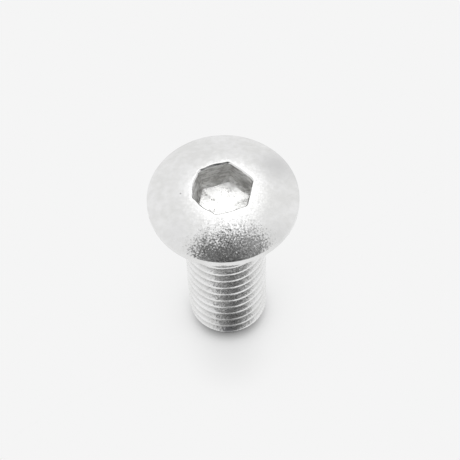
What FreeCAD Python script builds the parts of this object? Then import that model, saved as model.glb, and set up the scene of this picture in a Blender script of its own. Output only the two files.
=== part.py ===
import FreeCAD, Part
import math
import os
from FreeCAD import Vector

# Low button head screw with a hexagon socket, one piece of bright plated steel.
# It stands on its thread end: the origin is the middle of the end face, +Z runs up to the head.
# All sizes are in millimetres.

# Thread, M8 coarse, right hand; the crests stay a little inside the nominal diameter
THREAD_DIAMETER = 8.0
THREAD_PITCH = 1.25
THREAD_ANGLE = 60.0
CREST_CLEARANCE = 0.1
END_TAPER_DEPTH = 1.0
END_TAPER_LENGTH = 2.1

# Shank, from the thread's end to the underside of the head
SHANK_LENGTH = 20.0
NECK_LENGTH = 2.2
RUNOUT_LENGTH = 1.6
NECK_FLARE = 0.4

# Head, from its underside up
HEAD_DIAMETER = 14.0
HEAD_HEIGHT = 2.4
RIM_HEIGHT = 0.8
RIM_BEVEL = 0.2

# Hexagon socket, from the top of the head down
SOCKET_WIDTH = 5.0
SOCKET_DEPTH = 2.6
SOCKET_CORNER_RADIUS = 0.5
SOCKET_FLOOR_BEVEL = 0.3
LEAD_IN_WIDTH = 0.15
LEAD_IN_ANGLE = 45.0

# The groove's helix starts this many turns below the end face, and cuts reach this far past what they meet
START_TURNS = 1.66
CUT_PAST = 0.1

ORIGIN = Vector(0, 0, 0)
UP = Vector(0, 0, 1)

thread_slope = math.tan(math.radians(THREAD_ANGLE / 2))
crest_radius = THREAD_DIAMETER / 2 - CREST_CLEARANCE
# A thread's pitch line lies where its ridge and its groove are equally wide
full_height = THREAD_PITCH / 2 / thread_slope
pitch_radius = THREAD_DIAMETER / 2 - full_height * 3 / 8
groove_root_radius = pitch_radius - full_height / 2
neck_start = SHANK_LENGTH - NECK_LENGTH
runout_start = neck_start - RUNOUT_LENGTH
head_top = SHANK_LENGTH + HEAD_HEIGHT
socket_corner_radius = SOCKET_WIDTH / 2 / math.cos(math.radians(30))


def at(radius, height):
    """A point in the plane of X and Z, by its distance from the axis and its height."""
    return Vector(radius, 0, height)


def turned(points):
    """A closed profile of (radius, height) points spun about the axis."""
    corners = [at(radius, height) for radius, height in points]
    profile = Part.Face(Part.makePolygon(corners + corners[:1]))
    solid = profile.revolve(ORIGIN, UP, 360)
    if solid.Volume < 0:
        solid.reverse()
    return solid


def thread_blank():
    """The rod before threading: the tapered end, the crests and their taper, which ends inside the neck."""
    taper = (crest_radius - pitch_radius) / RUNOUT_LENGTH
    return turned([
        (0, 0),
        (crest_radius - END_TAPER_DEPTH, 0),
        (crest_radius, END_TAPER_LENGTH),
        (crest_radius, runout_start),
        (pitch_radius - taper * CUT_PAST, neck_start + CUT_PAST),
        (0, neck_start + CUT_PAST),
    ])


def groove():
    """The V between the thread's turns: a right hand helix that passes both ends of the threaded rod."""
    start_height = -START_TURNS * THREAD_PITCH
    end_height = neck_start + THREAD_PITCH
    outer_radius = crest_radius + CUT_PAST
    half_width = (outer_radius - groove_root_radius) * thread_slope
    corners = [
        at(groove_root_radius, start_height),
        at(outer_radius, start_height + half_width),
        at(outer_radius, start_height - half_width),
    ]
    cone_angle = 0
    helix = Part.makeLongHelix(THREAD_PITCH, end_height - start_height, pitch_radius, cone_angle)
    helix.translate(at(0, start_height))
    sweep = Part.BRepOffsetAPI.MakePipeShell(Part.Wire(helix.Edges))
    sweep.setFrenetMode(True)
    sweep.add(Part.makePolygon(corners + corners[:1]))
    sweep.build()
    sweep.makeSolid()
    return sweep.shape()


def neck():
    """The plain neck: a cone that fills the groove from its root up to it, and the flare under the head."""
    fill = (pitch_radius - groove_root_radius) / RUNOUT_LENGTH
    return turned([
        (0, runout_start - CUT_PAST),
        (groove_root_radius - fill * CUT_PAST, runout_start - CUT_PAST),
        (pitch_radius, neck_start),
        (pitch_radius, SHANK_LENGTH - NECK_FLARE),
        (pitch_radius + NECK_FLARE, SHANK_LENGTH),
        (0, SHANK_LENGTH),
    ])


def dome_ball():
    """The ball whose surface is the dome: it meets the rim at its crease and the head's top at the socket's flats."""
    rim_radius = HEAD_DIAMETER / 2
    top_radius = SOCKET_WIDTH / 2
    crease = SHANK_LENGTH + RIM_HEIGHT
    rise = head_top - crease
    centre_drop = (rim_radius ** 2 - top_radius ** 2 - rise ** 2) / (2 * rise)
    ball = Part.makeSphere(math.hypot(rim_radius, centre_drop), ORIGIN, Vector(1, 0, 0))
    ball.translate(at(0, crease - centre_drop))
    return ball


def head():
    rim_radius = HEAD_DIAMETER / 2
    disc = turned([
        (0, SHANK_LENGTH),
        (rim_radius - RIM_BEVEL, SHANK_LENGTH),
        (rim_radius, SHANK_LENGTH + RIM_BEVEL),
        (rim_radius, head_top),
        (0, head_top),
    ])
    return disc.common(dome_ball())


def socket_hexagon():
    """A hexagonal prism with rounded corners and a bevel round its floor."""
    floor = head_top - SOCKET_DEPTH
    corners = []
    for step in range(6):
        turn = math.radians(30 + 60 * step)
        corners.append(Vector(math.cos(turn), math.sin(turn), 0) * socket_corner_radius + at(0, floor))
    outline = Part.Face(Part.makePolygon(corners + corners[:1]))
    prism = outline.extrude(UP * (SOCKET_DEPTH + CUT_PAST))
    upright = [edge for edge in prism.Edges if edge.BoundBox.ZLength > SOCKET_DEPTH]
    prism = prism.makeFillet(SOCKET_CORNER_RADIUS, upright)
    lowest = [edge for edge in prism.Edges if edge.BoundBox.ZMax < floor + CUT_PAST]
    return prism.makeChamfer(SOCKET_FLOOR_BEVEL, lowest)


def socket_lead_in():
    """The round cone at the socket's mouth, which bows the edges of its flats outwards."""
    slope = math.tan(math.radians(LEAD_IN_ANGLE))
    inner_radius = SOCKET_WIDTH / 2 - CUT_PAST
    mouth_radius = SOCKET_WIDTH / 2 + LEAD_IN_WIDTH
    foot = head_top - (mouth_radius - inner_radius) * slope
    return turned([
        (0, foot),
        (inner_radius, foot),
        (mouth_radius + CUT_PAST / slope, head_top + CUT_PAST),
        (0, head_top + CUT_PAST),
    ])


def bolt():
    thread = thread_blank().cut(groove())
    body = thread.fuse([neck(), head()])
    body = body.cut([socket_hexagon(), socket_lead_in()])
    return body.Solids[0]


os.makedirs("parts", exist_ok=True)
bolt().exportStep("parts/bolt.step")
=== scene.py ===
import bmesh
import bpy
import numpy as np
from mathutils import Matrix, Vector


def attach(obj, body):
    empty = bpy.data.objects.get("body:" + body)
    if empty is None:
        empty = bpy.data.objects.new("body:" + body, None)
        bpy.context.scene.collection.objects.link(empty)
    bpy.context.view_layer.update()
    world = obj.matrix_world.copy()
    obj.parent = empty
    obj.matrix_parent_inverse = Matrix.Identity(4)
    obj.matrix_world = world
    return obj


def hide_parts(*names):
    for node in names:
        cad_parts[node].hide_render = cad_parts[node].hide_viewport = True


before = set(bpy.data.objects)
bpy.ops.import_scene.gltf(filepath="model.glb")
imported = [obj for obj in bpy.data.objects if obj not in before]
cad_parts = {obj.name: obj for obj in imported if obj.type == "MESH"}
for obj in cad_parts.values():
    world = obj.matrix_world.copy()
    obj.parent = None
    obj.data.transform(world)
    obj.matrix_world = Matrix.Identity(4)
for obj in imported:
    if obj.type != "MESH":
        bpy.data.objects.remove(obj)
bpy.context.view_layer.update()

# Sizes are in millimetres unless a comment says otherwise, and Blender's are in metres
MM = 0.001

# The bolt's sizes, as the CAD model has them
THREAD_RADIUS = 4.0
CREST_RADIUS = 3.9
PITCH = 1.25
FLANK_SLOPE = np.tan(np.radians(30))
# The pitch line, where ridge and groove are equally wide, and the line where the sharp groove's flanks meet
PITCH_RADIUS = THREAD_RADIUS - PITCH / 2 / FLANK_SLOPE * 3 / 8
V_RADIUS = PITCH_RADIUS - PITCH / 4 / FLANK_SLOPE
START_TURNS = 1.66
END_TAPER_DEPTH = 1.0
END_TAPER_LENGTH = 2.1
END_RADIUS = CREST_RADIUS - END_TAPER_DEPTH
RUNOUT_START = 16.2
NECK_START = 17.8
SHANK_LENGTH = 20.0
RIM_RADIUS = 7.0
RIM_HEIGHT = 0.8
HEAD_HEIGHT = 2.4
CREASE = SHANK_LENGTH + RIM_HEIGHT
HEAD_TOP = SHANK_LENGTH + HEAD_HEIGHT
HALF_FLATS = 2.5
SOCKET_CORNER_ROUND = 0.5

# The socket's floor, a little deeper than the CAD model's, with its corner and the dish of its bowl
SOCKET_DEPTH = 2.8
SOCKET_FLOOR = HEAD_TOP - SOCKET_DEPTH
FLOOR_INSET = 0.3
FLOOR_INSET_HEIGHT = 0.35
FLOOR_DISH = 0.28

# The socket's mouth: a round bow that spreads the flats' upper edges, a little more toward one side
MOUTH_RADIUS = 2.74
MOUTH_SHIFT = 0.08
MOUTH_SHIFT_ANGLE = 200
MOUTH_BEVEL = 0.15
MOUTH_DEPTH = 0.45
# How sharply the bow meets the hexagon's corners, per millimetre
MOUTH_BLEND = 40

# Roundings that the real one has and the CAD model leaves out or bevels
ROOT_ROUND = 0.18
CREST_ROUND = 0.06
# The fillet under the head, the rim's lower edge and the crease
RIM_ROUNDS = (0.4, 0.2, 0.05)
# The mouth's edge, the bevel's lower edge, the foot of the bow, and the floor's corner and edge
SOCKET_ROUNDS = (0.05, 0.05, 0.35, 0.1, 0.05)

# The most of its shorter leg that an arc takes, and the length that a leg of none is given
ARC_SHARE = 0.45
SHORTEST_LEG = 1e-9

# How finely the surfaces are drawn
COLUMNS = 216
CORNER_CROWDING = 0.55
ARC_ROWS = 6
THREAD_ARC_ROWS = 5
FLANK_ROWS = 2
SPARE_TURNS = 3
DOME_ROWS = 25
# Where the dome's even rows lie between the rim, 0, and the mouth, 1
DOME_FROM, DOME_TO = 0.04, 0.93
# The rings of the socket's floor, as shares of its width, and of the thread's end, as radii
FLOOR_FIRST_RING = 0.95
FLOOR_RINGS = np.linspace(0.9, 0, 10)
END_RINGS = (END_RADIUS, 2.0, 1.0, 0.0)
# Edges that turn by more degrees than this are drawn sharp
SHARP_ANGLE = 50
# In metres: vertices closer than the first are merged, and edges shorter than the second are taken out
MERGE_DISTANCE = 1e-7
SMALLEST_EDGE = 1e-8

# The order of the finishes on the bolt's mesh
HEAD, WALLS, FLOOR, THREAD = range(4)

# Noises of the plating: width of their features, detail and roughness. The grain of real bright zinc is about
# 0.02 wide, too fine to show in the render, so it is drawn about ten times coarser.
GRAIN = (0.16, 2.0, 0.6)
PATCHES = (0.6, 2.0, 0.5)
CLOUDS = (3.0, 4.0, 0.6)
PUNCH_MARKS = (0.3, 3.0, 0.65)
# The punch marks run round the socket, so they are drawn out along X and Y
PUNCH_MARK_STRETCH = (0.45, 0.45, 1.0)
# The patches' share in the tint and in the lean of the surface
PATCH_TINT = 0.4
PATCH_LEAN = 0.2
# Between these values of the noise the tint goes from shade to light and the polish from bright to dull
TINT_RANGE = (0.4, 0.6)
POLISH_RANGE = (0.3, 0.7)
# The plating thins, and the painted shade in the thread's roots deepens, from the first radius to the second
FULL_PLATING_UNSHADED_RADIUS = 3.85
THIN_PLATING_SHADED_RADIUS = 3.25

# Smudges, nicks and places with brighter or duller plating, and painted light and shade on the socket's
# walls and low on the thread's front: middle, radius, tone, share
HEAD_SPOTS = [
    ((4.3, 4.0, 21.4), 3.0, "#B4B4B4", 0.45),
    ((5.9, -3.2, 20.95), 2.2, "#C4C4C4", 0.3),
    ((-3.35, -4.9, 21.35), 2.2, "#C8C8C8", 0.2),
    ((-3.66, -1.15, 22.1), 0.11, "#505050", 0.8),
]
# Painted light and shade: the left wall painted lighter, the right wall painted darker
WALL_PAINTED_LIGHT_AND_SHADE = [
    ((-2.45, -0.8, 21.0), 1.8, "#FFFFFF", 1.0),
    ((1.7, 2.0, 20.8), 1.8, "#989896", 0.7),
]
THREAD_MARKS_AND_SHADE = [
    ((0.79, -3.6, 3.1), 0.25, "#303030", 0.9),
    ((0.77, -3.6, 2.2), 0.9, "#A4A4AA", 0.7),
    # Painted shade: a broad darker patch low on the front of the thread
    ((0.9, -3.8, 4.6), 3.2, "#9C9C9B", 0.38),
]
# The scuffed front of the head, where the grain is steeper: middle, radius and how many times as steep
HEAD_SCUFF = ((1.9, -6.0, 21.8), 4.4, 1.8)
# The scuff is at its full strength inside this share of its radius
SCUFF_CORE = 1 / 3


def column_angles():
    """Angles round the axis, crowded by c at the socket's corners: t - c / 6 sin 6(t - 30 degrees)."""
    turn = 2 * np.pi * np.arange(COLUMNS) / COLUMNS
    return turn - CORNER_CROWDING / 6 * np.sin(6 * (turn - np.pi / 6))


def rounded(corners, cuts, steps):
    """Rows of (radius, height) that run through corners, each replaced by an exact arc.

    An arc starts and ends a cut's length from its corner, or the arc's share of the shorter leg where less.
    It is a rational quadratic curve whose middle weight is the cosine of half the turn.
    corners is (corner, column, 2); the first and last corner stay sharp.
    """
    rows = [corners[0][None]]
    for before, here, after, cut in zip(corners[:-2], corners[1:-1], corners[2:], cuts):
        back = before - here
        ahead = after - here
        back_length = np.linalg.norm(back, axis=1, keepdims=True)
        ahead_length = np.linalg.norm(ahead, axis=1, keepdims=True)
        back = back / np.maximum(back_length, SHORTEST_LEG)
        ahead = ahead / np.maximum(ahead_length, SHORTEST_LEG)
        reach = np.minimum(cut, ARC_SHARE * np.minimum(back_length, ahead_length))
        cosine = np.clip((back * ahead).sum(axis=1, keepdims=True), -1, 1)
        weight = np.sqrt((1 - cosine) / 2)
        t = np.linspace(0, 1, steps)[:, None, None]
        first, last = here + back * reach, here + ahead * reach
        arc = first * (1 - t) ** 2 + 2 * weight * here * t * (1 - t) + last * t ** 2
        rows.append(arc / ((1 - t) ** 2 + 2 * weight * t * (1 - t) + t ** 2))
    rows.append(corners[-1][None])
    return np.concatenate(rows)


def grid_faces(row_count, shift=0):
    """Quads between a grid's neighbouring columns. The last one joins the first a shift of rows higher."""
    row, column = np.meshgrid(np.arange(row_count - 1), np.arange(COLUMNS), indexing="ij")
    beside = (column + 1) % COLUMNS
    lift = np.where(beside == 0, shift, 0)
    quads = np.stack([
        row * COLUMNS + column,
        (row + lift) * COLUMNS + beside,
        (row + 1 + lift) * COLUMNS + beside,
        (row + 1) * COLUMNS + column,
    ], axis=-1).reshape(-1, 4)
    return quads[quads.max(axis=1) < row_count * COLUMNS]


def on_columns(radius, height):
    """Points from radius and height arrays of (row, column), turned to each column's angle."""
    angle = column_angles()[None, :]
    x, y = radius * np.cos(angle), radius * np.sin(angle)
    return np.stack([x, y, height + 0 * angle], axis=-1).reshape(-1, 3)


def thread_profile():
    """One pitch of the thread from crest to crest: flat crests, flanks at 30 degrees and a round root."""
    crest_edge = (CREST_RADIUS - V_RADIUS) * FLANK_SLOPE
    corners = np.array([
        (CREST_RADIUS, -PITCH / 2),
        (CREST_RADIUS, -crest_edge),
        (V_RADIUS, 0),
        (CREST_RADIUS, crest_edge),
        (CREST_RADIUS, PITCH / 2),
    ])[:, None, :]
    cuts = [CREST_ROUND, ROOT_ROUND / FLANK_SLOPE, CREST_ROUND]
    rows = rounded(corners, cuts, THREAD_ARC_ROWS)[:-1, 0]
    crest, root, next_crest = np.split(rows, [1 + THREAD_ARC_ROWS, 1 + 2 * THREAD_ARC_ROWS])
    inward = np.linspace(crest[-1], root[0], FLANK_ROWS + 2)[1:-1]
    outward = np.linspace(root[-1], next_crest[0], FLANK_ROWS + 2)[1:-1]
    return np.concatenate([crest, inward, root, outward, next_crest])


def thread_rows():
    """The threaded rod as rows that climb with the helix, each one point of the profile on one turn.

    Height rises by a pitch a turn. The radius is the least of the profile and the rod's envelope, which is
    the tapered end, the crests and the run-out, and no less than the cone that fills the run-out. Both stop
    at the end face and at the neck.
    """
    profile = thread_profile()
    pitches = int(np.ceil(NECK_START / PITCH)) + SPARE_TURNS
    start = -START_TURNS * PITCH - PITCH
    offset = (start + PITCH * np.arange(pitches)[:, None] + profile[None, :, 1]).reshape(-1, 1)
    height = offset + PITCH * column_angles()[None, :] / (2 * np.pi)
    end_taper = CREST_RADIUS - END_TAPER_DEPTH * (1 - height / END_TAPER_LENGTH)
    runout = (height - RUNOUT_START) / (NECK_START - RUNOUT_START)
    crest_taper = CREST_RADIUS - (CREST_RADIUS - PITCH_RADIUS) * runout
    core = V_RADIUS + (PITCH_RADIUS - V_RADIUS) * runout
    envelope = np.minimum(CREST_RADIUS, np.minimum(end_taper, crest_taper))
    radius = np.maximum(np.minimum(np.tile(profile[:, 0], pitches)[:, None], envelope), core)
    radius = np.where(height <= 0, END_RADIUS, radius)
    radius = np.where(height >= NECK_START, PITCH_RADIUS, radius)
    faces = grid_faces(len(radius), len(profile))
    inside = (height > 0) & (height < NECK_START)
    kept = inside.reshape(-1)[faces].any(axis=1)
    return on_columns(radius, np.clip(height, 0, NECK_START)), faces[kept]


def socket_radius():
    """Distance from the axis to the socket's wall: six flats, and round corners at 30 degrees, 90 and on."""
    from_corner = np.abs((column_angles() + np.pi / 3) % (np.pi / 3) - np.pi / 6)
    centre = (HALF_FLATS - SOCKET_CORNER_ROUND) / np.cos(np.pi / 6)
    touch = np.arctan2(SOCKET_CORNER_ROUND / 2, centre + SOCKET_CORNER_ROUND * np.cos(np.pi / 6))
    flat = HALF_FLATS / np.cos(np.pi / 6 - from_corner)
    reach = np.maximum(SOCKET_CORNER_ROUND ** 2 - (centre * np.sin(from_corner)) ** 2, 0)
    return np.where(from_corner < touch, centre * np.cos(from_corner) + np.sqrt(reach), flat)


def head_rows():
    """The neck, head and socket as one profile a column, from the neck's foot to the middle of the floor.

    The dome is a ball, z = c + sqrt(b^2 - r^2), from the crease to the socket's mouth. The mouth is the
    smooth maximum of the wall's hexagon and a circle, log(exp(k h) + exp(k c)) / k, which bows its flats
    outwards. The floor is a shallow bowl, as a punch leaves it: its depth falls with r^2. Each face's finish
    comes with it.
    """
    wall = socket_radius()
    bow = MOUTH_RADIUS + MOUTH_SHIFT * np.cos(column_angles() - np.radians(MOUTH_SHIFT_ANGLE))
    mouth = np.logaddexp(MOUTH_BLEND * (wall + MOUTH_BEVEL), MOUTH_BLEND * bow) / MOUTH_BLEND
    rise = HEAD_TOP - CREASE
    drop = (RIM_RADIUS ** 2 - HALF_FLATS ** 2 - rise ** 2) / (2 * rise)
    ball = np.hypot(RIM_RADIUS, drop)

    def ring(radius, height):
        return np.stack(np.broadcast_arrays(radius, height, wall)[:2], axis=1)

    def dome(share):
        radius = RIM_RADIUS + (mouth - RIM_RADIUS) * share
        return ring(radius, CREASE - drop + np.sqrt(ball ** 2 - radius ** 2))

    def bowl(share):
        return ring((wall - FLOOR_INSET) * share, SOCKET_FLOOR - FLOOR_DISH * (1 - share ** 2))

    edge = dome(1.0)
    below = rounded(np.array([
        ring(PITCH_RADIUS, NECK_START),
        ring(PITCH_RADIUS, SHANK_LENGTH),
        ring(RIM_RADIUS, SHANK_LENGTH),
        dome(0.0),
        dome(DOME_FROM),
    ]), RIM_ROUNDS, ARC_ROWS)
    above = rounded(np.array([
        dome(DOME_TO),
        edge,
        edge - MOUTH_BEVEL,
        ring(wall, edge[:, 1] - MOUTH_DEPTH),
        ring(wall, SOCKET_FLOOR + FLOOR_INSET_HEIGHT),
        ring(wall - FLOOR_INSET, SOCKET_FLOOR),
        bowl(FLOOR_FIRST_RING),
    ]), SOCKET_ROUNDS, ARC_ROWS)
    shares = np.linspace(DOME_FROM, DOME_TO, DOME_ROWS + 2)[1:-1]
    middle = np.array([dome(share) for share in shares])
    floor = np.array([bowl(share) for share in FLOOR_RINGS])
    rows = np.concatenate([below, middle, above, floor])
    faces = grid_faces(len(rows))
    # The walls begin half way round the bevel's lower arc, and the floor half way round its own last arc
    wall_from = len(below) + len(middle) + 1 + ARC_ROWS + ARC_ROWS // 2
    floor_from = wall_from + 3 * ARC_ROWS
    row = faces.min(axis=1) // COLUMNS
    finish = np.where(row >= floor_from, FLOOR, np.where(row >= wall_from, WALLS, HEAD))
    return on_columns(rows[..., 0], rows[..., 1]), faces, finish


def end_rows():
    """The flat end of the thread: rings from its edge to the axis, with faces that look down."""
    radius = np.array(END_RINGS)[:, None] * np.ones(COLUMNS)[None, :]
    return on_columns(radius, 0 * radius), grid_faces(len(END_RINGS))[:, ::-1]


def mesh_object(name, points, faces, slots, materials):
    """One object from points in millimetres and quads, its doubles merged and its faces turned outwards."""
    mesh = bpy.data.meshes.new(name)
    mesh.from_pydata((points * MM).tolist(), [], faces.tolist())
    for material in materials:
        mesh.materials.append(material)
    mesh.polygons.foreach_set("material_index", slots.astype(np.int32))
    obj = bpy.data.objects.new(name, mesh)
    bpy.context.collection.objects.link(obj)
    shell = bmesh.new()
    shell.from_mesh(mesh)
    bmesh.ops.remove_doubles(shell, verts=shell.verts, dist=MERGE_DISTANCE)
    bmesh.ops.dissolve_degenerate(shell, edges=shell.edges, dist=SMALLEST_EDGE)
    bmesh.ops.recalc_face_normals(shell, faces=shell.faces)
    shell.to_mesh(mesh)
    shell.free()
    mesh.shade_smooth()
    mesh.set_sharp_from_angle(angle=np.radians(SHARP_ANGLE))
    return obj


def linear(code):
    """An sRGB hex colour as linear light with alpha."""
    channels = [int(code[i:i + 2], 16) / 255 for i in (1, 3, 5)]
    return tuple(c / 12.92 if c <= 0.04045 else ((c + 0.055) / 1.055) ** 2.4 for c in channels) + (1.0,)


def add(tree, kind, settings=None, links=None, props=None, stops=()):
    """Adds a node. settings go to its input sockets and links feed them from other nodes' outputs.

    props are the node's own, and stops are a colour ramp's positions and tones, in rising order. Where names
    repeat, sockets go by number: a Mix has its share at 0, its values at 2 and 3 and their result at 0, and
    its colours at 6 and 7 and their result at 2.
    """
    node = tree.nodes.new(kind)
    for key, value in (props or {}).items():
        setattr(node, key, value)
    for key, value in (settings or {}).items():
        node.inputs[key].default_value = value
    for key, source in (links or {}).items():
        tree.links.new(source, node.inputs[key])
    for index, (position, tone) in enumerate(stops):
        # A new ramp already has two stops
        stop = node.color_ramp.elements[index] if index < 2 else node.color_ramp.elements.new(position)
        stop.position, stop.color = position, linear(tone)
    return node


def new_material(name):
    material = bpy.data.materials.new(name)
    material.use_nodes = True
    material.node_tree.nodes.clear()
    return material, material.node_tree


def places(tree):
    """The point on the object, in metres and in millimetres."""
    place = add(tree, "ShaderNodeTexCoord").outputs["Object"]
    larger = add(tree, "ShaderNodeVectorMath", {"Scale": 1 / MM}, {0: place}, {"operation": "SCALE"})
    return place, larger.outputs["Vector"]


def marked(tree, place, tone, spots):
    """Lays soft round spots over a tone: each is middle and radius in the units of place, tone and share."""
    for middle, radius, colour, share in spots:
        away = add(tree, "ShaderNodeVectorMath", {1: middle}, {0: place}, {"operation": "DISTANCE"})
        cover = add(tree, "ShaderNodeMapRange", {"From Min": radius, "From Max": 0.0, "To Max": share},
                    {"Value": away.outputs["Value"]}, {"interpolation_type": "SMOOTHSTEP"})
        mix = add(tree, "ShaderNodeMix", {7: linear(colour)}, {0: cover.outputs["Result"], 6: tone},
                  {"data_type": "RGBA"})
        tone = mix.outputs[2]
    return tone


def thinned_and_shaded(tree, place, tone, root):
    """Goes over from a tone to the root's tone by the distance from the axis, where the plating thins and the
    roots are painted darker as shade.
    """
    across = add(tree, "ShaderNodeVectorMath", {1: (1.0, 1.0, 0.0)}, {0: place}, {"operation": "MULTIPLY"})
    span = add(tree, "ShaderNodeVectorMath", links={0: across.outputs["Vector"]},
               props={"operation": "LENGTH"})
    full = add(tree, "ShaderNodeMapRange",
               {"From Min": THIN_PLATING_SHADED_RADIUS * MM, "From Max": FULL_PLATING_UNSHADED_RADIUS * MM},
               {"Value": span.outputs["Value"]})
    mix = add(tree, "ShaderNodeMix", {6: linear(root)}, {0: full.outputs["Result"], 7: tone},
              {"data_type": "RGBA"})
    return mix.outputs[2]


def leaned(tree, normal, noise, lean, millimetres, scuff):
    """Leans the surface by a noise, and more inside the scuff where there is one."""
    centred = add(tree, "ShaderNodeVectorMath", {1: (0.5, 0.5, 0.5)}, {0: noise.outputs["Color"]},
                  {"operation": "SUBTRACT"})
    links = {0: centred.outputs["Vector"], 2: normal}
    if scuff:
        middle, radius, gain = scuff
        away = add(tree, "ShaderNodeVectorMath", {1: middle}, {0: millimetres}, {"operation": "DISTANCE"})
        reach = {"From Min": radius, "From Max": radius * SCUFF_CORE, "To Min": lean, "To Max": lean * gain}
        steeper = add(tree, "ShaderNodeMapRange", reach, {"Value": away.outputs["Value"]},
                      {"interpolation_type": "SMOOTHSTEP"})
        links[1] = steeper.outputs["Result"]
    return add(tree, "ShaderNodeVectorMath", {1: (lean, lean, lean)}, links,
               {"operation": "MULTIPLY_ADD"}).outputs["Vector"]


def plated_steel(name, light, shade, rough, tilt, lines=0.0, root=None, spots=(), scuff=None):
    """Bright zinc on steel: a metal whose surface is a fine grain of small slopes, with duller clouds.

    light and shade are the plating's two tones, rough the least and most roughness, and tilt how far the
    grain leans the surface. lines is the depth in millimetres of the punch's marks, which take the clouds'
    place. root is the darker tone of the thread's roots, for their thin zinc and as painted shade, spots the
    smudges, nicks and painted light and shade, and scuff the place where the grain is steeper.
    """
    material, tree = new_material(name)
    place, millimetres = places(tree)
    widest = (CLOUDS, place)
    if lines:
        drawn_out = add(tree, "ShaderNodeMapping", {"Scale": PUNCH_MARK_STRETCH}, {"Vector": place})
        widest = (PUNCH_MARKS, drawn_out.outputs["Vector"])
    noises = []
    for (size, detail, roughness), point in ((GRAIN, place), (PATCHES, place), widest):
        settings = {"Scale": 1 / (size * MM), "Detail": detail, "Roughness": roughness}
        noises.append(add(tree, "ShaderNodeTexNoise", settings, {"Vector": point}))
    grain, patch, cloud = noises

    share = 0.0 if lines else PATCH_TINT
    both = add(tree, "ShaderNodeMix", {0: share}, {2: cloud.outputs["Fac"], 3: patch.outputs["Fac"]})
    tint = add(tree, "ShaderNodeValToRGB", links={"Fac": both.outputs[0]},
               stops=zip(TINT_RANGE, (shade, light)))
    tone = tint.outputs["Color"]
    # Painted shade in the thread's roots, together with their thinner zinc
    if root:
        tone = thinned_and_shaded(tree, place, tone, root)
    tone = marked(tree, millimetres, tone, spots)

    bright, dull = POLISH_RANGE
    polish = add(tree, "ShaderNodeMapRange",
                 {"From Min": bright, "From Max": dull, "To Min": rough[0], "To Max": rough[1]},
                 {"Value": patch.outputs["Fac"]})

    normal = add(tree, "ShaderNodeNewGeometry").outputs["Normal"]
    if lines:
        normal = add(tree, "ShaderNodeBump", {"Strength": 1.0, "Distance": lines * MM},
                     {"Height": cloud.outputs["Fac"], "Normal": normal}).outputs["Normal"]
    for noise, lean in ((grain, tilt), (patch, tilt * PATCH_LEAN)):
        normal = leaned(tree, normal, noise, lean, millimetres, scuff)
    normal = add(tree, "ShaderNodeVectorMath", links={0: normal}, props={"operation": "NORMALIZE"})

    shader = add(tree, "ShaderNodeBsdfPrincipled", {"Metallic": 1.0},
                 {"Base Color": tone, "Roughness": polish.outputs["Result"],
                  "Normal": normal.outputs["Vector"]})
    add(tree, "ShaderNodeOutputMaterial", links={"Surface": shader.outputs["BSDF"]})
    return material


def finishes():
    """The bolt's four finishes, in the order of their slots."""
    return [
        # Forged and tumbled steel with bright zinc: nearly a mirror, which breaks up into a fine speckle
        # where its dark and light reflections meet, and has faint clouds
        plated_steel("bright_zinc_on_forged_head", light="#F0F0F0", shade="#E6E6E5", rough=(0.14, 0.19),
                     tilt=0.3, spots=HEAD_SPOTS, scuff=HEAD_SCUFF),
        # Steel that the punch sheared, with little zinc so deep inside: satin grey with marks round the walls
        plated_steel("thin_zinc_on_punched_walls", light="#FFFFFE", shade="#CECDCB", rough=(0.38, 0.48),
                     tilt=0.35, lines=0.16, spots=WALL_PAINTED_LIGHT_AND_SHADE),
        # Steel that the punch's face pressed: a soft shine that fills with the light above, with a few specks
        plated_steel("thin_zinc_on_punched_floor", light="#F8F8F7", shade="#F0F0EE", rough=(0.24, 0.32),
                     tilt=0.45),
        # Steel that the rolling dies burnished, with bright zinc that is thin in the roots, which are also
        # painted
        # darker as shade: a blurred mirror with bright crest lines and duller grooves between them
        plated_steel("bright_zinc_on_rolled_thread", light="#F8F8F8", shade="#ECECEB", rough=(0.24, 0.32),
                     tilt=0.5, root="#A8A8A7", spots=THREAD_MARKS_AND_SHADE),
    ]


def make_bolt():
    thread_points, thread_faces = thread_rows()
    head_points, head_faces, head_finish = head_rows()
    end_points, end_faces = end_rows()
    points = np.concatenate([thread_points, head_points, end_points])
    faces = np.concatenate([
        thread_faces,
        head_faces + len(thread_points),
        end_faces + len(thread_points) + len(head_points),
    ])
    slots = np.concatenate([
        np.full(len(thread_faces), THREAD),
        head_finish,
        np.full(len(end_faces), HEAD),
    ])
    bolt = mesh_object("bolt_steel", points, faces, slots, finishes())
    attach(bolt, "root")
    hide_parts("bolt")


# The photograph's viewpoint: azimuth, elevation and roll, the distance from the middle of the head's crease,
# and how far that middle lies from the middle of the picture
VIEW_AZIMUTH, VIEW_ELEVATION, VIEW_ROLL = np.radians([13.4, 57.79, 2.456])
VIEW_DISTANCE = 136.48
VIEW_OFFSET = (-0.640, 3.012)
FOCAL_PIXELS = 1491.6
PICTURE_PIXELS = 460
SENSOR_WIDTH = 36
# The nearest and the farthest that the camera sees, in metres
CLIP_START, CLIP_END = 0.005, 20


def view_axes():
    """The camera's right, up and forward directions in the bolt's frame."""
    a, e, roll = VIEW_AZIMUTH, VIEW_ELEVATION, VIEW_ROLL
    right = np.array([np.cos(a), np.sin(a), 0.0])
    forward = np.array([-np.sin(a) * np.cos(e), np.cos(a) * np.cos(e), -np.sin(e)])
    up = np.cross(right, forward)
    return np.cos(roll) * right - np.sin(roll) * up, np.sin(roll) * right + np.cos(roll) * up, forward


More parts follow.
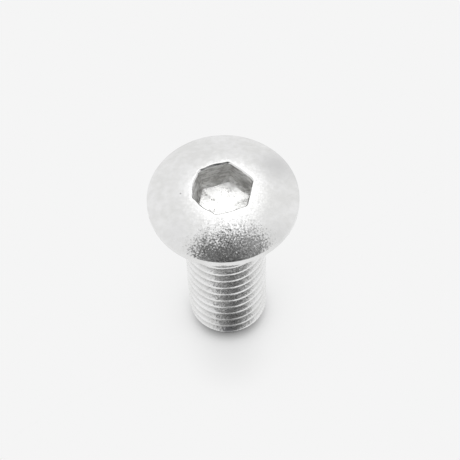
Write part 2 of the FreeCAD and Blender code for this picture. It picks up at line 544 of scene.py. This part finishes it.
def place_camera():
    right, up, forward = view_axes()
    aim = np.array([0, 0, CREASE]) - VIEW_OFFSET[0] * right - VIEW_OFFSET[1] * up
    position = (aim - VIEW_DISTANCE * forward) * MM
    data = bpy.data.cameras.new("camera")
    data.sensor_width = SENSOR_WIDTH
    data.lens = FOCAL_PIXELS / PICTURE_PIXELS * SENSOR_WIDTH
    data.clip_start = CLIP_START
    data.clip_end = CLIP_END
    camera = bpy.data.objects.new("camera", data)
    turn = Matrix([right, up, -forward]).transposed().to_4x4()
    camera.matrix_world = Matrix.Translation(Vector(position)) @ turn
    bpy.context.collection.objects.link(camera)
    bpy.context.scene.camera = camera


# Two cards round the head: behind the bolt, 1, or on the camera's side, -1; degrees up; a shift to the right
# as a share of the distance; the distance in metres; the degrees from its middle to its side and to its top
SOFTBOX_PLACE = (1, 61, 0.04, 0.4, 33, 38)
CAMERA_DARK_PLACE = (-1, 41, 0.12, 0.12, 36, 49)
SOFTBOX_STRENGTH = 1.7
# The softbox is at its full strength inside this share of its radius
SOFTBOX_CORE = 0.1
# The widths of the dark card's soft sides, in half widths of the card
SOFT_SIDES = {"X": 0.26, "Y": 0.49}
# The mottle's scale on the card, detail and roughness, and its two tones
MOTTLE = (9.0, 3.0, 0.7)
MOTTLE_STOPS = [(0.43, "#363636"), (0.57, "#B4B4B4")]
# The parts of the camera and its stand on that card, and the gap beside them: middle and radius in half
# widths of the card, tone, share
CAMERA_PARTS = [
    ((0.8, 0.26, 0.0), 0.4, "#E0E0E0", 0.65),
    ((-0.1, 0.36, 0.0), 0.6, "#3C3C3C", 0.42),
    ((-0.05, 0.0, 0.0), 0.6, "#404040", 0.9),
    ((-0.02, 0.23, 0.0), 0.23, "#282828", 0.9),
    ((-0.36, 0.68, 0.0), 0.34, "#282828", 0.8),
    ((-0.66, 0.6, 0.0), 0.34, "#282828", 0.85),
    ((0.1, 0.72, 0.0), 0.3, "#303030", 0.6),
    ((0.66, 0.5, 0.0), 0.26, "#484848", 0.4),
    ((0.82, 0.64, 0.0), 0.28, "#303030", 0.85),
]


def card_facing_head(name, place, material):
    """A card that looks at the head from its place, as the values above give it."""
    side, elevation, right_shift, distance, wide, high = place
    forward = view_axes()[2]
    behind = np.array([forward[0], forward[1], 0]) / np.hypot(forward[0], forward[1])
    level_right = np.array([behind[1], -behind[0], 0])
    rise = np.radians(elevation)
    level = side * behind * np.cos(rise) + level_right * right_shift
    direction = Vector(level + np.array([0, 0, np.sin(rise)])).normalized()
    reach = [distance * np.tan(np.radians(angle)) for angle in (wide, high)]
    mesh = bpy.data.meshes.new(name)
    mesh.from_pydata([(-1, -1, 0), (1, -1, 0), (1, 1, 0), (-1, 1, 0)], [], [(0, 1, 2, 3)])
    mesh.materials.append(material)
    card = bpy.data.objects.new(name, mesh)
    bpy.context.collection.objects.link(card)
    card.matrix_world = (Matrix.Translation(Vector((0, 0, CREASE * MM)) + direction * distance)
                         @ direction.to_track_quat("Z", "Y").to_matrix().to_4x4()
                         @ Matrix.Diagonal((*reach, 1.0, 1.0)))
    card.visible_camera = False
    card.visible_shadow = False
    return card


def shown_where(tree, cover, glow):
    """Shows the glow where cover is 1 and nothing where it is 0."""
    clear = add(tree, "ShaderNodeBsdfTransparent")
    mix = add(tree, "ShaderNodeMixShader",
              links={0: cover, 1: clear.outputs["BSDF"], 2: glow.outputs["Emission"]})
    add(tree, "ShaderNodeOutputMaterial", links={"Surface": mix.outputs["Shader"]})


def softbox_light():
    """A round white light that fades from its bright middle to its edge."""
    material, tree = new_material("softbox_light")
    place = add(tree, "ShaderNodeTexCoord").outputs["Object"]
    span = add(tree, "ShaderNodeVectorMath", links={0: place}, props={"operation": "LENGTH"})
    cover = add(tree, "ShaderNodeMapRange", {"From Min": 1.0, "From Max": SOFTBOX_CORE},
                {"Value": span.outputs["Value"]}, {"interpolation_type": "SMOOTHSTEP"})
    glow = add(tree, "ShaderNodeEmission", {"Color": linear("#FFFFFF"), "Strength": SOFTBOX_STRENGTH})
    shown_where(tree, cover.outputs["Result"], glow)
    return material


def camera_dark():
    """The camera and its stand as the head sees them: a dark mottled block whose sides are soft."""
    material, tree = new_material("camera_dark")
    place = add(tree, "ShaderNodeTexCoord").outputs["Object"]
    axes = add(tree, "ShaderNodeSeparateXYZ", links={"Vector": place})
    sides = []
    for axis, soft in SOFT_SIDES.items():
        away = add(tree, "ShaderNodeMath", links={0: axes.outputs[axis]},
                   props={"operation": "ABSOLUTE"})
        side = add(tree, "ShaderNodeMapRange", {"From Min": 1.0, "From Max": 1.0 - soft},
                   {"Value": away.outputs["Value"]}, {"interpolation_type": "SMOOTHSTEP"})
        sides.append(side.outputs["Result"])
    cover = add(tree, "ShaderNodeMath", links=dict(enumerate(sides)), props={"operation": "MULTIPLY"})
    settings = dict(zip(("Scale", "Detail", "Roughness"), MOTTLE))
    mottle = add(tree, "ShaderNodeTexNoise", settings, {"Vector": place})
    base = add(tree, "ShaderNodeValToRGB", links={"Fac": mottle.outputs["Fac"]}, stops=MOTTLE_STOPS)
    tone = marked(tree, place, base.outputs["Color"], CAMERA_PARTS)
    shown_where(tree, cover.outputs["Value"], add(tree, "ShaderNodeEmission", links={"Color": tone}))
    return material


def place_lights():
    """A soft white box high up behind the bolt, and the dark of the camera and its stand in front of it."""
    card_facing_head("softbox", SOFTBOX_PLACE, softbox_light())
    dark = card_facing_head("dark_behind_camera", CAMERA_DARK_PLACE, camera_dark())
    dark.visible_diffuse = False


PAPER = "#F5F5F5"
# Half the paper's width, in metres
PAPER_REACH = 2
# The shade close round the bolt: how far it reaches, how finely it is worked out, and its tones from the
# darkest corner to the open paper
SHADE_REACH = 14.0
SHADE_SAMPLES = 16
SHADE_STOPS = [(0.3, "#707070"), (0.45, "#A8A8A8"), (0.6, "#DCDCDC"), (0.72, "#F0F0F0"), (0.88, PAPER)]
# The head's faint shade in front of the shank: middle, radius, tone, share
PAPER_SPOTS = [((1.3, -5.4, 0.0), 5.0, "#C0C0C0", 0.2)]
# A painted dark reflection, put on the floor for the metal only
# A dark strip in front of the bolt that only the metal shows: the photo's middle crests are dimmed by one
PAINTED_FRONT_REFLECTION = [
    ((1.5, -6.1, 0.0), 4.0, "#404040", 0.8),
    ((2.2, -9.2, 0.0), 4.0, "#404040", 0.8),
    ((2.7, -11.7, 0.0), 3.5, "#404040", 0.8),
]


def place_floor():
    """Pale paper with the shade close round what stands on it.

    The camera and the metal see its tones as they are written, the metal with the strip's painted dark
    reflection added, and light falls on it as on paper.
    """
    material, tree = new_material("pale_paper_floor")
    lit = add(tree, "ShaderNodeBsdfDiffuse", {"Color": linear(PAPER)})
    shade = add(tree, "ShaderNodeAmbientOcclusion", {"Distance": SHADE_REACH * MM},
                props={"samples": SHADE_SAMPLES})
    ramp = add(tree, "ShaderNodeValToRGB", links={"Fac": shade.outputs["AO"]}, stops=SHADE_STOPS)
    ramp.color_ramp.interpolation = "B_SPLINE"
    millimetres = places(tree)[1]
    tone = marked(tree, millimetres, ramp.outputs["Color"], PAPER_SPOTS)
    # The floor's tone with the painted dark reflection, which only glossy rays get
    dimmed = marked(tree, millimetres, tone, PAINTED_FRONT_REFLECTION)
    ray = add(tree, "ShaderNodeLightPath")
    pick = add(tree, "ShaderNodeMix", links={0: ray.outputs["Is Glossy Ray"], 6: tone, 7: dimmed},
               props={"data_type": "RGBA"})
    seen = add(tree, "ShaderNodeEmission", links={"Color": pick.outputs[2]})
    direct = add(tree, "ShaderNodeMath",
                 links={0: ray.outputs["Is Camera Ray"], 1: ray.outputs["Is Glossy Ray"]},
                 props={"operation": "MAXIMUM"})
    mix = add(tree, "ShaderNodeMixShader",
              links={0: direct.outputs["Value"], 1: lit.outputs["BSDF"], 2: seen.outputs["Emission"]})
    add(tree, "ShaderNodeOutputMaterial", links={"Surface": mix.outputs["Shader"]})
    mesh = bpy.data.meshes.new("floor")
    corners = [(x * PAPER_REACH, y * PAPER_REACH, 0) for x, y in ((-1, -1), (1, -1), (1, 1), (-1, 1))]
    mesh.from_pydata(corners, [], [(0, 1, 2, 3)])
    mesh.materials.append(material)
    floor = bpy.data.objects.new("floor", mesh)
    bpy.context.collection.objects.link(floor)


def light_room():
    """An even pale room all round, as bright as the paper."""
    world = bpy.data.worlds.new("room")
    bpy.context.scene.world = world
    world.use_nodes = True
    tree = world.node_tree
    tree.nodes.clear()
    room = add(tree, "ShaderNodeBackground", {"Color": linear(PAPER), "Strength": 1.0})
    add(tree, "ShaderNodeOutputWorld", links={"Surface": room.outputs["Background"]})


make_bolt()
place_camera()
place_lights()
place_floor()
light_room()
bpy.context.scene.view_settings.view_transform = "Standard"
